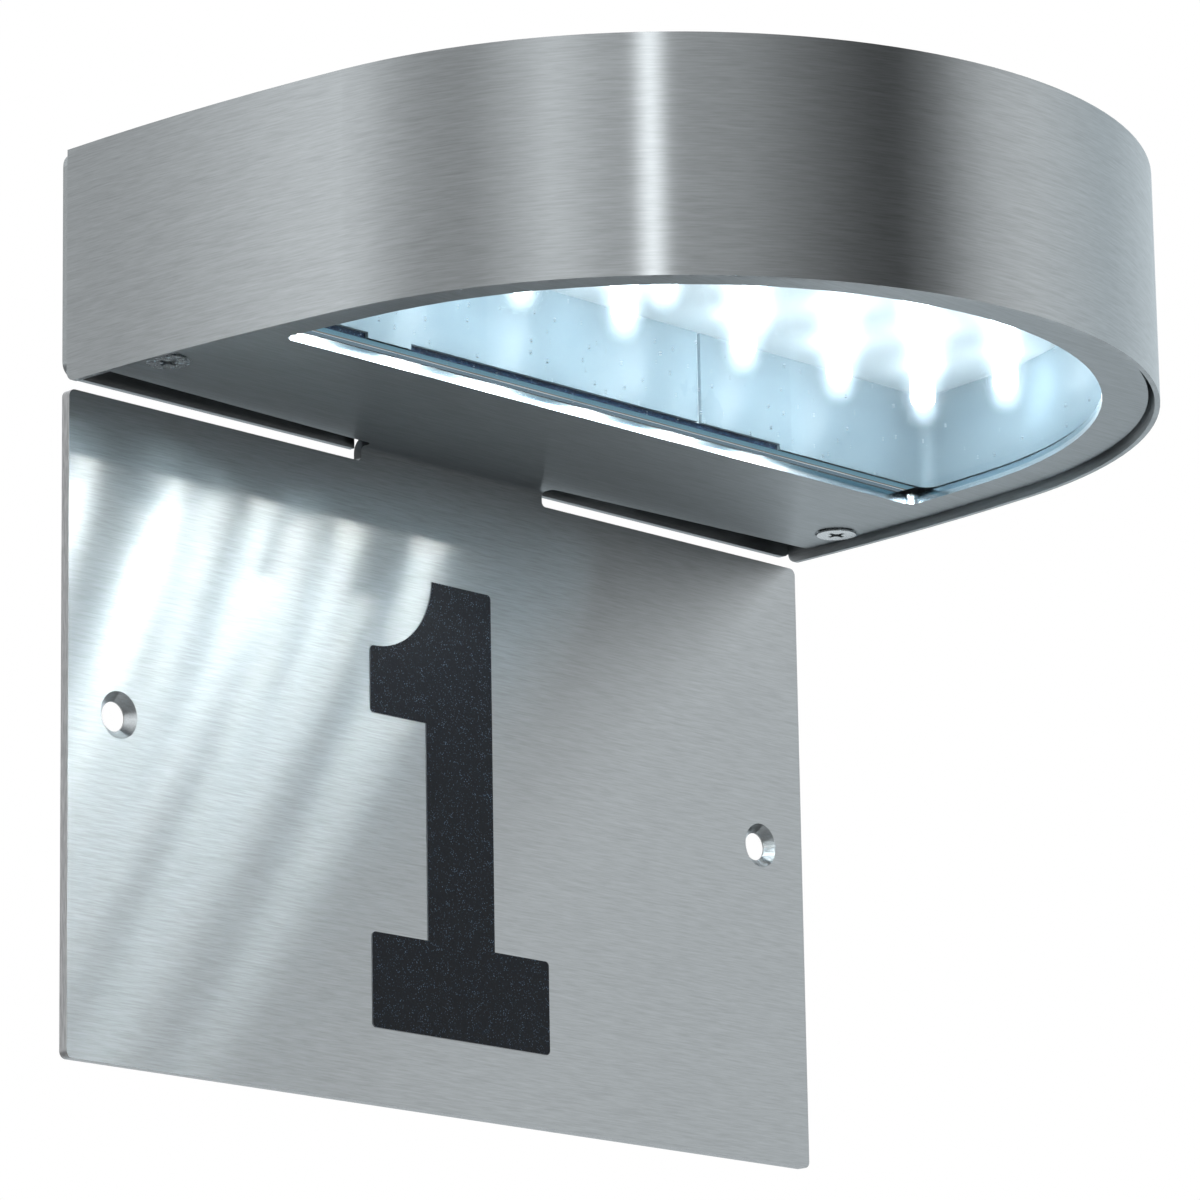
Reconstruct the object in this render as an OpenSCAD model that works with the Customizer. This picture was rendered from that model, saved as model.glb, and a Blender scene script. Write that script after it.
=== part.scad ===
// Illuminated house number sign for a wall.
// A D-shaped steel lamp housing is closed below by a folded sheet, which is
// its bottom cover and, past a narrow bridge, the number plate.
// Origin: midway between the two wall-screw holes, on the wall.
// +Z is up, +X is to the viewer's right, and the sign faces -Y.

/* [Number plate] */
// Width of the sign: number plate and housing are alike
sign_w = 200; // [180:1:240]
// Height of the number plate
plate_h = 125; // [115:1:180]
// Thickness of the folded sheet
sheet_t = 2; // [1.6:0.1:3]
// Corner radius of the number plate
plate_corner_r = 1.4; // [0.5:0.1:10]
// Distance from the plate's top edge to the wall-screw holes
hole_drop = 60; // [20:1:100]
// Distance from the plate's sides to the wall-screw holes
hole_side = 12.5; // [8:0.5:30]
// Diameter of the wall-screw holes
hole_d = 5.6; // [4.5:0.1:6.5]
// Diameter of the wall-screw countersinks
sink_d = 9; // [7.5:0.1:9.5]
// Width of the bridge between plate and cover
bridge_w = 50; // [30:1:80]
// Height of the bridge's straight part
bridge_rise = 1.9; // [1.5:0.1:5]
// Inner radius of the fold
fold_r = 1; // [0.5:0.1:1.8]

/* [Bottom cover] */
// Gap between the cover's edge and the housing band
cover_gap = 1.2; // [0.6:0.1:2]
// Distance from the wall to the cover's rear edge at the bridge
slot_near = 5; // [5:0.5:6]
// Distance from the wall to the cover's rear edge at its ends
slot_far = 8; // [6:0.5:10]
// Corner radius at the ends of the cover's rear edge
cover_corner_r = 1.5; // [0.5:0.1:3]
// Radius at the inner ends of the slots
slot_corner_r = 1; // [0.5:0.1:1.4]
// Distance from the housing's sides to the cover screws
screw_side = 7.3; // [7.1:0.1:10]
// Distance from the wall to the cover screws
screw_rear = 20.5; // [18:0.5:30]
// Width of the border round the window
window_border = 10.9; // [10.9:0.1:20]
// Distance from the wall to the window's rear edge
window_rear = 45.4; // [45:0.1:60]
// Corner radius of the window
window_corner_r = 2; // [1:0.1:5]

/* [Housing] */
// Depth of the housing from the wall
housing_d = 152; // [145:1:180]
// How much smaller the front curve's radius is than half the width
front_ease = 4; // [1:0.5:10]
// Height of the housing band
band_h = 45; // [43:0.5:80]
// Thickness of the housing band
band_t = 1; // [0.8:0.1:1.5]
// Thickness of the back wall
back_t = 1.2; // [0.8:0.1:2]
// Thickness of the top cover
top_t = 1; // [0.8:0.1:2]
// Height of the band's lower edge above the plate
band_rise = 1.3; // [0.5:0.1:2.5]
// Height of the back wall's lower edge above the plate
back_rise = 2.5; // [1.5:0.1:4]
// Corner radius of the back wall
back_corner_r = 3; // [1:0.5:6]
// Radius of the band's lower rear corners
band_corner_r = 2; // [1:0.5:4]

/* [Light chamber] */
// Thickness of the window pane
pane_t = 2; // [1.5:0.1:3]
// Overlap of the pane on the cover round the window
pane_lap = 2.7; // [1.5:0.1:2.7]
// Height of the chamber between pane and board
chamber_h = 19.1; // [16:0.1:20]
// Thickness of the chamber strip
chamber_t = 0.8; // [0.5:0.1:1.2]
// Distance from the wall to the chamber's rear face
chamber_rear = 49.9; // [49.5:0.1:56]
// Corner radius of the chamber
chamber_corner_r = 3; // [1:0.5:6]
// Distance from the housing's midplane to the strip's seam
seam_x = 19.2; // [0:0.1:60]
// Gap between the strip's ends at the seam
seam_gap = 1; // [0.4:0.1:1.5]
// Thickness of the foam strip on the pane behind the chamber's rear wall
tape_t = 1.1; // [0.8:0.1:2.5]
// Width of the foam strip
tape_w = 4.6; // [2:0.1:4.7]
// Thickness of the lamp board
board_t = 1.6; // [1:0.1:2]
// Distance from the band's outer face to the board's edge
board_inset = 3.2; // [3:0.1:3.5]
// Distance from the wall to the board's rear edge
board_rear = 36; // [35:0.5:37]
// Diameter of a lamp
led_d = 5; // [3:0.5:5]
// Length of a lamp below the board
led_h = 9; // [6:0.1:10]
// Least distance from the light chamber's sides to the middle of a lamp
led_side = 8; // [6:0.5:15]
// Distance from the wall to the rear row of lamps
led_rear = 64.5; // [60:0.5:70]
// Distance from the housing's front to the front row of lamps
led_front = 33.5; // [30:0.5:40]

/* [Number] */
// Height of the digit
digit_h = 89.5; // [60:0.5:90]
// Distance from the plate's top edge to the digit
digit_drop = 20.9; // [15:0.1:25]
// Width of the digit's base
digit_base_w = 48; // [40:0.5:60]
// Height of the digit's base
digit_base_h = 18.4; // [10:0.1:25]
// Width of the digit's stem
digit_stem_w = 18.1; // [12:0.1:24]
// Height of the digit's flag at its left end
digit_flag_h = 13.2; // [8:0.1:16]
// Distance from the digit's top to the left end of its flag
digit_flag_drop = 15.2; // [12:0.1:20]
// Radius of the curve from the flag up to the top
digit_bite_r = 16; // [15.5:0.1:18]
// Corner radius of the digit
digit_corner_r = 0.9; // [0.3:0.1:2]
// Place of the digit's middle right of the plate's middle
digit_shift = 0.9; // [0:0.1:10]
// Thickness of the digit's film
digit_t = 0.15; // [0.1:0.05:1]

/* [Power supply] */
// Length of the driver case
driver_l = 84; // [80:1:100]
// Width of the driver case
driver_w = 24; // [22:0.5:24]
// Height of the driver case
driver_h = 20; // [18:0.5:30]
// Wall thickness of the driver case
driver_wall = 1.5; // [1:0.1:2]
// Distance from the wall to the driver's middle
driver_rear = 22.5; // [21.5:0.5:23]
// Width of the terminal block
block_w = 16; // [14:0.5:20]
// Height of the terminal block
block_h = 14; // [12:0.5:18]
// Distance between the terminals
block_pitch = 11; // [10:0.5:11]
// Diameter of the cable passage in the grommet
cable_d = 8; // [6:0.5:10]
// Height of the grommet's middle above the cover
grommet_rise = 22; // [22:0.5:28]

/* [Hidden] */
$fa = 1;
$fs = 0.3;

// Overrun of every cut
cut = 1;
// Gap between a fastener and its hole
fit_gap = 0.05;
// Gap between pieces that are pushed together
slip_gap = 0.3;
// How far a rounding's circle passes its edges, so that they truly cross
ease = 0.002;

// Levels, from the wall-screw holes up
plate_top = hole_drop;
plate_bottom = plate_top - plate_h;
fold_z = plate_top + bridge_rise;
fold_y = -(sheet_t + fold_r);
cover_z = fold_z + fold_r;
inside_z = cover_z + sheet_t;
pane_top = inside_z + pane_t;
board_z = pane_top + chamber_h;
board_top = board_z + board_t;
band_z = plate_top + band_rise;
band_top = band_z + band_h;
back_z = plate_top + back_rise;

// Plan of the housing: two side arcs that run into one front arc
half_w = sign_w / 2;
front_r = half_w - front_ease;
front_y = housing_d - front_r;
side_r = (half_w * half_w + front_y * front_y - front_r * front_r) / (2 * front_ease);
side_x = side_r - half_w;
join_a = asin(front_y / (side_r - front_r));
function half_at(inset, back) =
  back < (side_r - inset) * sin(join_a)
    ? sqrt(pow(side_r - inset, 2) - back * back) - side_x
    : sqrt(pow(front_r - inset, 2) - pow(back - front_y, 2));

// Insets of the inner outlines from the band's outer face
cover_inset = band_t + cover_gap;
pane_inset = window_border - pane_lap;
chamber_grow = 0.4;
chamber_inset = window_border - chamber_grow;

// M3 studs that carry the board and the driver, M4 studs and screws
m3_d = 3;
m3_nut_w = 5.5;
m3_nut_h = 2.4;
m4_d = 4;
m4_nut_w = 7;
m4_nut_h = 3.2;
stud_past = 1.2;
spacer_d = 4.6;
stud_edge = spacer_d / 2 + slip_gap;
stud_inset = pane_inset - stud_edge;
stud_front_a = 40;
stud_rear_x_share = 0.76;
board_stud_spots = [
  for (side = [-1, 1])
    each [
      [side * stud_rear_x_share * half_w, stud_edge - window_rear + pane_lap],
      [
        side * (front_r - stud_inset) * sin(stud_front_a),
        -front_y - (front_r - stud_inset) * cos(stud_front_a)
      ]
    ]
];

// Cover screws
screw_x = half_at(0, screw_rear) - screw_side;
cover_screw_spots = [for (side = [-1, 1]) [side * screw_x, -screw_rear]];
screw_head_d = 8;
screw_rim_h = 0.3;
screw_proud = 0.5;
screw_spot_d = 8.9;
screw_spot_h = 0.5;
// Width of the countersink at the floor of the spot face, where the head's cone sits
screw_seat_d = screw_head_d - 2 * (screw_spot_h + screw_proud - screw_rim_h - fit_gap);
screw_hole_d = 4.3;
screw_l = 10;
recess_w = 0.9;
recess_l = 4;
recess_h = 1.5;
recess_core_d = 2;

// Corner lugs
lug_t = 1.5;
lug_l = 14;
lug_h = 14;
lug_reach = 6.5;
lug_hole_d = 5.2;

// Seal
seal_w = 1.2;

// Notches in the foot of the chamber's rear wall: their ends as shares of half the sign's width
notch_end_shares = [[-0.84, -0.697], [-0.586, 0.427]];

// Splice behind the seam
splice_w = 12;
splice_t = 0.5;

// Rows of lamps from the rear: places from the midplane as shares of the room at that row
led_row_shares = [
  [0.215, 0.573, 0.896],
  [0, 0.338, 0.677, 0.996],
  [0.393, 0.786],
  [0, 0.523]
];
led_pitch = (housing_d - led_front - led_rear) / (len(led_row_shares) - 1);
led_spots = [
  for (row = [0 : len(led_row_shares) - 1])
    let (
      back = led_rear + row * led_pitch,
      room = half_at(chamber_inset, back) - led_side
    )
      for (share = led_row_shares[row], side = share > 0 ? [-1, 1] : [1])
        [side * share * room, -back]
];
led_rim = 0.4;
led_flange_d = led_d + 2 * led_rim;
led_flange_h = 1;
led_pin_pitch = 2.54;
joint_d = 1.7;
joint_h = 0.8;

// Parts on the board
resistor_d = 2.4;
resistor_l = 6.5;
resistor_count = 5;
resistor_pitch = 8;
resistor_lead_d = 0.6;
resistor_lead_l = 1.8;
plug_w = 6;
plug_l = 7;
plug_h = 6;
plug_x_share = 0.85;
plug_x = -plug_x_share * half_w;
plug_wall = 0.9;

// Driver
driver_x_share = 0.21;
driver_x = -driver_x_share * half_w;
driver_y = -driver_rear;
driver_ear = 8;
driver_ear_t = 2;
driver_hole_d = 3.4;
driver_lid_t = driver_wall;
driver_ledge = 3;
driver_ledge_w = 2;
driver_board_t = 1.6;
coil_l = 18;
coil_w = 15;
coil_h = 11;
coil_core_w = 6;
coil_gap = 3;
capacitor_d = 8;
capacitor_l = 11;
driver_stud_spots = [
  for (side = [-1, 1]) [driver_x + side * (driver_l + driver_ear) / 2, driver_y]
];

// Wires
wire_d = 1.8;
wire_rise = 10;
wire_pitch = 3;
mains_pitch = 10;

// Terminal block
block_x_share = 0.5;
block_x = block_x_share * half_w;
block_y = -driver_rear;
block_l = 2 * block_pitch + m3_nut_w;
block_foot_h = 3;
block_well_d = 4;
block_bore_d = 3.2;
block_screw_d = 3;
block_screw_h = 6;
block_screw_pitch = 6.4;
insert_d = 4.6;
insert_inset = 2.4;
insert_l = block_w - 2 * insert_inset;
insert_rise = 5;
terminal_spots = [for (side = [-1, 1]) [block_x, block_y + side * block_pitch]];

// Earth terminal
earth_x_share = 0.76;
earth_x = earth_x_share * half_w;
earth_y = -driver_rear;
washer_d = 9;
washer_t = 0.8;

// Grommet
grommet_x = block_x;
grommet_z = inside_z + grommet_rise;
grommet_wall = 2.5;
grommet_d = cable_d + 2 * grommet_wall;
grommet_lip = 2;
grommet_flange_d = grommet_d + 2 * grommet_lip;
grommet_flange_t = 2.5;
grommet_nose = 5;
notch_gap = 1;
notch_w = bridge_w + 2 * notch_gap;
notch_top = inside_z + slip_gap;

// Outline of the housing from above, drawn inset from its outer face
module plan(inset = 0) {
  join_y = (side_r - inset) * sin(join_a);
  intersection() {
    translate([-side_x, 0]) circle(r = side_r - inset);
    translate([side_x, 0]) circle(r = side_r - inset);
    union() {
      translate([-sign_w, -join_y]) square([2 * sign_w, join_y]);
      translate([0, -front_y]) circle(r = front_r - inset);
    }
    translate([-sign_w, -2 * housing_d]) square([2 * sign_w, 2 * housing_d]);
  }
}

// Everything in front of a line along the wall
module in_front_of(rear) {
  translate([-sign_w, -rear - housing_d]) square([2 * sign_w, housing_d]);
}

// Outline with a straight rear edge and two rounded rear corners
module d_shape(inset, rear, r) {
  arc_r = side_r - inset;
  mid_y = -rear - r;
  mid_x = sqrt((arc_r - r) * (arc_r - r) - mid_y * mid_y) - side_x;
  touch = [(mid_x + side_x) * arc_r / (arc_r - r) - side_x, mid_y * arc_r / (arc_r - r)];
  difference() {
    intersection() {
      plan(inset);
      in_front_of(rear);
    }
    for (side = [0, 1])
      mirror([side, 0])
        difference() {
          polygon([
            [mid_x, -rear], [mid_x, -rear + r], [touch[0] + 2 * r, -rear + r],
            [touch[0] + 2 * r, touch[1]], touch
          ]);
          translate([mid_x, mid_y]) circle(r = r + ease);
        }
  }
}

// A shape seen from the front, as thick as told, with its back at a distance from the wall
module upright(thick, back = 0) {
  translate([0, -back, 0]) rotate([90, 0, 0]) linear_extrude(thick) children();
}

// A rectangle with rounded corners, from its lower left corner
module rounded(w, h, r) {
  translate([r, 0]) square([w - 2 * r, h]);
  translate([0, r]) square([w, h - 2 * r]);
  for (x = [r, w - r], y = [r, h - r])
    translate([x, y]) circle(r = r);
}

// The fillet of an inner corner that opens towards +X and +Y
module inner_fillet(r) {
  difference() {
    translate([-r, -r]) square(2 * r);
    translate([r, r]) circle(r = r + ease);
  }
}

// A hexagon nut with its bore, standing on its origin
module nut(width, height, bore) {
  difference() {
    cylinder(h = height, d = width / cos(30), $fn = 6);
    translate([0, 0, -cut]) cylinder(h = height + 2 * cut, d = bore);
  }
}

// A tube along a curve from one end to the other, square to both
module wire(from, from_way, to, to_way) {
  steps = 12;
  sides = 8;
  c1 = from + from_way;
  c2 = to - to_way;
  function spot(t) =
    pow(1 - t, 3) * from + 3 * pow(1 - t, 2) * t * c1 + 3 * (1 - t) * t * t * c2 + pow(t, 3) * to;
  function way(t) =
    (1 - t) * (1 - t) * (c1 - from) + 2 * (1 - t) * t * (c2 - c1) + t * t * (to - c2);
  function unit(v) = v / norm(v);
  // Neither wire runs straight along this line, so it can hold the rings upright
  hold = unit([0.2, 0.3, 1]);
  rings = [
    for (i = [0 : steps])
      let (
        w = unit(way(i / steps)),
        a = unit(cross(w, hold)),
        b = cross(w, a)
      )
      for (k = [0 : sides - 1])
        spot(i / steps) + wire_d / 2 * (cos(360 * k / sides) * a + sin(360 * k / sides) * b)
  ];
  skin = [
    for (i = [0 : steps - 1], k = [0 : sides - 1])
      let (
        p = i * sides + k,
        q = i * sides + (k + 1) % sides
      )
      each [[p, q, q + sides], [p, q + sides, p + sides]]
  ];
  ends = [
    for (k = [1 : sides - 2])
      each [[0, k + 1, k], [steps * sides, steps * sides + k, steps * sides + k + 1]]
  ];
  polyhedron(points = rings, faces = concat(skin, ends));
}

// Something at each of several places in plan, at one level
module at_each(spots, level = 0) {
  for (spot = spots)
    translate([spot[0], spot[1], level]) children();
}

module housing_band() {
  color("silver")
  difference() {
    translate([0, 0, band_z])
      linear_extrude(band_h)
        intersection() {
          difference() {
            plan();
            plan(band_t);
          }
          in_front_of(back_t);
        }
    translate([-sign_w / 2 - cut, -back_t - band_corner_r, band_z + band_corner_r])
      rotate([0, 90, 0])
        linear_extrude(sign_w + 2 * cut)
          difference() {
            square(band_corner_r + cut);
            circle(r = band_corner_r + ease);
          }
  }
}

module back_wall() {
  color("gainsboro")
  difference() {
    upright(back_t)
      difference() {
        translate([-half_w, back_z]) rounded(sign_w, band_top - back_z, back_corner_r);
        translate([-notch_w / 2, back_z - cut]) square([notch_w, notch_top - back_z + cut]);
      }
    translate([grommet_x, cut, grommet_z])
      rotate([90, 0, 0]) cylinder(h = back_t + 2 * cut, d = grommet_d);
  }
}

module top_cover() {
  color("silver")
  translate([0, 0, band_top - top_t])
    linear_extrude(top_t)
      intersection() {
        plan(band_t);
        in_front_of(back_t);
      }
}

module corner_lugs() {
  lug_front = screw_rear + lug_l / 2;
  wall_x = half_at(band_t, lug_front);
  color("darkgray")
  for (side = [0, 1])
    mirror([side, 0, 0])
      difference() {
        union() {
          translate([screw_x - lug_reach, -lug_front, inside_z])
            cube([wall_x - screw_x + lug_reach, lug_l, lug_t]);
          translate([wall_x - lug_t, -lug_front, inside_z]) cube([lug_t, lug_l, lug_h]);
        }
        translate([screw_x, -screw_rear, inside_z - cut])
          cylinder(h = lug_t + 2 * cut, d = lug_hole_d);
      }
}

module lug_nuts() {
  color("goldenrod")
  at_each(cover_screw_spots, inside_z + lug_t)
    nut(m4_nut_w, m4_nut_h, m4_d + 2 * fit_gap);
}

// The cover's outline: its rear edge slopes from the bridge to rounded ends
module cover_outline() {
  slope = (slot_far - slot_near) / (half_w - bridge_w / 2);
  lean = atan(slope);
  end_x = half_w - cover_inset;
  mid_x = end_x - cover_corner_r;
  mid_y = -slot_near - slope * (mid_x - bridge_w / 2) - cover_corner_r * sqrt(1 + slope * slope);
  end_y = -slot_near - slope * (end_x - bridge_w / 2);
  touch = [mid_x + cover_corner_r * sin(lean), mid_y + cover_corner_r * cos(lean)];
  intersection() {
    plan(cover_inset);
    for (side = [0, 1])
      mirror([side, 0]) {
        difference() {
          polygon([
            [-cut, -housing_d], [-cut, fold_y], [bridge_w / 2, fold_y], [bridge_w / 2, -slot_near],
            [end_x, end_y], [end_x, -housing_d]
          ]);
          difference() {
            polygon([
              touch, [touch[0], 0], [end_x + cut, 0], [end_x + cut, mid_y], [end_x - ease, mid_y]
            ]);
            translate([mid_x, mid_y]) circle(r = cover_corner_r + ease);
          }
        }
        translate([bridge_w / 2, -slot_near])
          intersection() {
            inner_fillet(slot_corner_r);
            translate([-slot_corner_r, -slot_corner_r])
              square([2 * slot_corner_r, fold_y + slot_near + slot_corner_r]);
          }
      }
  }
}

module number_plate() {
  color("lightsteelblue")
  difference() {
    union() {
      upright(sheet_t) {
        translate([-sign_w / 2, plate_bottom]) rounded(sign_w, plate_h, plate_corner_r);
        translate([-bridge_w / 2, plate_top - slot_corner_r])
          square([bridge_w, bridge_rise + slot_corner_r]);
        for (side = [0, 1])
          mirror([side, 0]) translate([bridge_w / 2, plate_top]) inner_fillet(slot_corner_r);
      }
      translate([-bridge_w / 2, fold_y, fold_z])
        intersection() {
          rotate([0, 90, 0])
            linear_extrude(bridge_w)
              difference() {
                circle(r = fold_r + sheet_t);
                circle(r = fold_r);
              }
          cube([bridge_w, fold_r + sheet_t, fold_r + sheet_t]);
        }
      translate([0, 0, cover_z]) linear_extrude(sheet_t) cover_outline();
    }
    translate([0, 0, cover_z - cut])
      linear_extrude(sheet_t + 2 * cut) d_shape(window_border, window_rear, window_corner_r);
    for (side = [-1, 1])
      translate([side * (sign_w / 2 - hole_side), 0, 0])
        rotate([90, 0, 0]) {
          translate([0, 0, -cut]) cylinder(h = sheet_t + 2 * cut, d = hole_d);
          translate([0, 0, sheet_t - (sink_d - hole_d) / 2])
            cylinder(h = (sink_d - hole_d) / 2 + cut, d1 = hole_d, d2 = sink_d + 2 * cut);
        }
    at_each(cover_screw_spots, cover_z) {
      translate([0, 0, -cut]) cylinder(h = sheet_t + 2 * cut, d = screw_hole_d);
      translate([0, 0, -cut]) cylinder(h = screw_spot_h + cut, d = screw_spot_d);
      translate([0, 0, screw_spot_h - cut])
        cylinder(
          h = (screw_seat_d - screw_hole_d) / 2 + cut,
          d1 = screw_seat_d + 2 * cut,
          d2 = screw_hole_d
        );
    }
  }
}

module digit_one() {
  top = plate_top - digit_drop;
  bottom = top - digit_h;
  left = digit_shift - digit_base_w / 2;
  bite_x = left + digit_corner_r;
  flag_top = top - digit_flag_drop;
  flag_bottom = flag_top - digit_flag_h;
  color("black")
  upright(digit_t, sheet_t)
    difference() {
      union() {
        translate([left, bottom]) rounded(digit_base_w, digit_base_h, digit_corner_r);
        translate([digit_shift - digit_stem_w / 2, bottom])
          rounded(digit_stem_w, digit_h, digit_corner_r);
        translate([left, flag_bottom])
          rounded(digit_base_w / 2, digit_flag_h, digit_corner_r);
        translate([bite_x, flag_bottom + digit_corner_r])
          square([digit_shift - bite_x, top - flag_bottom - digit_corner_r]);
      }
      translate([bite_x, flag_top + digit_bite_r - ease]) circle(r = digit_bite_r);
    }
}

module cover_screws() {
  head_h = (screw_head_d - m4_d) / 2;
  color("lightgray")
  at_each(cover_screw_spots, cover_z - screw_proud)
    difference() {
      union() {
        cylinder(h = screw_rim_h, d = screw_head_d);
        translate([0, 0, screw_rim_h]) cylinder(h = head_h, d1 = screw_head_d, d2 = m4_d);
        cylinder(h = screw_l, d = m4_d);
      }
      for (turn = [0, 90])
        rotate([0, 0, turn])
          translate([-recess_l / 2, -recess_w / 2, -cut])
            cube([recess_l, recess_w, recess_h + cut]);
      translate([0, 0, -cut]) cylinder(h = recess_h + cut, d = recess_core_d);
    }
}

module window_pane() {
  color("aliceblue", 0.4)
  translate([0, 0, inside_z])
    linear_extrude(pane_t)
      d_shape(pane_inset, window_rear - pane_lap, window_corner_r + pane_lap);
}

module pane_seal() {
  color("whitesmoke")
  translate([0, 0, inside_z])
    linear_extrude(pane_t / 2)
      difference() {
        d_shape(pane_inset - seal_w, window_rear - pane_lap - seal_w, window_corner_r + pane_lap + seal_w);
        d_shape(pane_inset, window_rear - pane_lap, window_corner_r + pane_lap);
        at_each(board_stud_spots) circle(d = spacer_d + 2 * slip_gap);
      }
}

// Foam strip behind the foot of the chamber's rear wall, seen from in front through the wall's notches
module pane_tape() {
  end_x = half_at(chamber_inset, chamber_rear) - chamber_corner_r;
  color("midnightblue")
  translate([-end_x, chamber_t - chamber_rear, pane_top])
    cube([2 * end_x, tape_w, tape_t]);
}

module chamber_strip() {
  color("azure")
  difference() {
    translate([0, 0, pane_top])
      linear_extrude(chamber_h)
        difference() {
          d_shape(chamber_inset - chamber_t, chamber_rear - chamber_t, chamber_corner_r + chamber_t);
          d_shape(chamber_inset, chamber_rear, chamber_corner_r);
          translate([seam_x, -chamber_rear - cut]) square([seam_gap, chamber_t + 2 * cut]);
        }
    for (share = notch_end_shares)
      translate([share[0] * half_w, -chamber_rear - cut, pane_top - cut])
        cube([(share[1] - share[0]) * half_w, chamber_t + 2 * cut, tape_t + cut]);
  }
}

module chamber_splice() {
  color("lavender")
  translate([seam_x + seam_gap / 2 - splice_w / 2, chamber_t - chamber_rear, pane_top + tape_t])
    cube([splice_w, splice_t, chamber_h - tape_t]);
}

module led_board() {
  color("white")
  difference() {
    translate([0, 0, board_z])
      linear_extrude(board_t) d_shape(board_inset, board_rear, window_corner_r);
    at_each(board_stud_spots, inside_z)
      cylinder(h = board_top - inside_z + cut, d = m3_d + 2 * fit_gap);
  }
}

module leds() {
  color("lightcyan")
  at_each(led_spots, board_z)
    mirror([0, 0, 1]) {
      cylinder(h = led_flange_h, d = led_flange_d);
      cylinder(h = led_h - led_d / 2, d = led_d);
      translate([0, 0, led_h - led_d / 2]) sphere(d = led_d);
    }
}

module solder_joints() {
  color("gray")
  at_each(led_spots, board_top)
    for (side = [-1, 1])
      translate([side * led_pin_pitch / 2, 0, 0])
        cylinder(h = joint_h, d1 = joint_d, d2 = joint_d / 3);
}

module resistors() {
  color("tan")
  for (i = [0 : resistor_count - 1])
    translate([
      (i - (resistor_count - 1) / 2) * resistor_pitch,
      -(board_rear + led_rear) / 2,
      board_top + resistor_d / 2
    ]) {
      rotate([90, 0, 0]) {
        cylinder(h = resistor_l, d = resistor_d, center = true);
        cylinder(h = resistor_l + 2 * resistor_lead_l, d = resistor_lead_d, center = true);
      }
      for (side = [-1, 1])
        translate([0, side * (resistor_l / 2 + resistor_lead_l), -resistor_d / 2])
          cylinder(h = resistor_d / 2 + resistor_lead_d / 2, d = resistor_lead_d);
    }
}

module board_plug() {
  color("ivory")
  translate([plug_x - plug_l / 2, -board_rear - plug_w - plug_wall, board_top])
    difference() {
      cube([plug_l, plug_w, plug_h]);
      translate([plug_wall, plug_wall, plug_h / 2])
        cube([plug_l - 2 * plug_wall, plug_w - 2 * plug_wall, plug_h / 2 + cut]);
    }
}

module board_studs() {
  color("silver")
  at_each(board_stud_spots, inside_z)
    cylinder(h = board_top - inside_z + m3_nut_h + stud_past, d = m3_d);
}

module board_spacers() {
  color("darkgray")
  at_each(board_stud_spots, inside_z)
    difference() {
      cylinder(h = board_z - inside_z, d = spacer_d);
      translate([0, 0, -cut]) cylinder(h = board_z - inside_z + 2 * cut, d = m3_d + 2 * fit_gap);
    }
}

module board_nuts() {
  color("goldenrod")
  at_each(board_stud_spots, board_top) nut(m3_nut_w, m3_nut_h, m3_d + 2 * fit_gap);
}

module driver_case() {
  color("dimgray")
  difference() {
    translate([driver_x, driver_y, inside_z]) {
      translate([-driver_l / 2, -driver_w / 2, 0]) cube([driver_l, driver_w, driver_h]);
      translate([-driver_l / 2 - driver_ear, -driver_w / 2, 0])
        cube([driver_l + 2 * driver_ear, driver_w, driver_ear_t]);
    }
    translate([
      driver_x - driver_l / 2 + driver_wall,
      driver_y - driver_w / 2 + driver_wall,
      inside_z + driver_ledge
    ])
      cube([driver_l - 2 * driver_wall, driver_w - 2 * driver_wall, driver_h]);
    translate([
      driver_x - driver_l / 2 + driver_wall + driver_ledge_w,
      driver_y - driver_w / 2 + driver_wall,
      inside_z + driver_wall
    ])
      cube([
        driver_l - 2 * driver_wall - 2 * driver_ledge_w,
        driver_w - 2 * driver_wall,
        driver_h
      ]);
    at_each(driver_stud_spots, inside_z - cut)
      cylinder(h = driver_ear_t + 2 * cut, d = driver_hole_d);
  }
}

module driver_lid() {
  lip = driver_wall;
  color("slategray")
  translate([driver_x, driver_y, inside_z + driver_h]) {
    translate([-driver_l / 2, -driver_w / 2, 0]) cube([driver_l, driver_w, driver_lid_t]);
    difference() {
      translate([
        -driver_l / 2 + driver_wall + fit_gap,
        -driver_w / 2 + driver_wall + fit_gap,
        -lip
      ])
        cube([
          driver_l - 2 * driver_wall - 2 * fit_gap,
          driver_w - 2 * driver_wall - 2 * fit_gap,
          lip
        ]);
      translate([-driver_l / 2 + 2 * driver_wall, -driver_w / 2 + 2 * driver_wall, -lip - cut])
        cube([driver_l - 4 * driver_wall, driver_w - 4 * driver_wall, lip + cut]);
    }
  }
}

module driver_board() {
  color("seagreen")
  translate([
    driver_x - driver_l / 2 + driver_wall + slip_gap,
    driver_y - driver_w / 2 + driver_wall + slip_gap,
    inside_z + driver_ledge
  ])
    cube([
      driver_l - 2 * driver_wall - 2 * slip_gap,
      driver_w - 2 * driver_wall - 2 * slip_gap,
      driver_board_t
    ]);
}

module driver_coil() {
  color("darkgoldenrod")
  translate([
    driver_x - coil_l / 2,
    driver_y - coil_w / 2,
    inside_z + driver_ledge + driver_board_t
  ]) {
    translate([0, (coil_w - coil_core_w) / 2, 0]) cube([coil_l, coil_core_w, coil_h]);
    translate([coil_gap, 0, coil_gap])
      cube([coil_l - 2 * coil_gap, coil_w, coil_h - 2 * coil_gap]);
  }
}

module driver_capacitor() {
  color("darkslateblue")
  translate([
    driver_x + driver_l / 4,
    driver_y,
    inside_z + driver_ledge + driver_board_t
  ])
    cylinder(h = capacitor_l, d = capacitor_d);
}

module driver_studs() {
  color("silver")
  at_each(driver_stud_spots, inside_z)
    cylinder(h = driver_ear_t + m3_nut_h + stud_past, d = m3_d);
}

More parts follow.
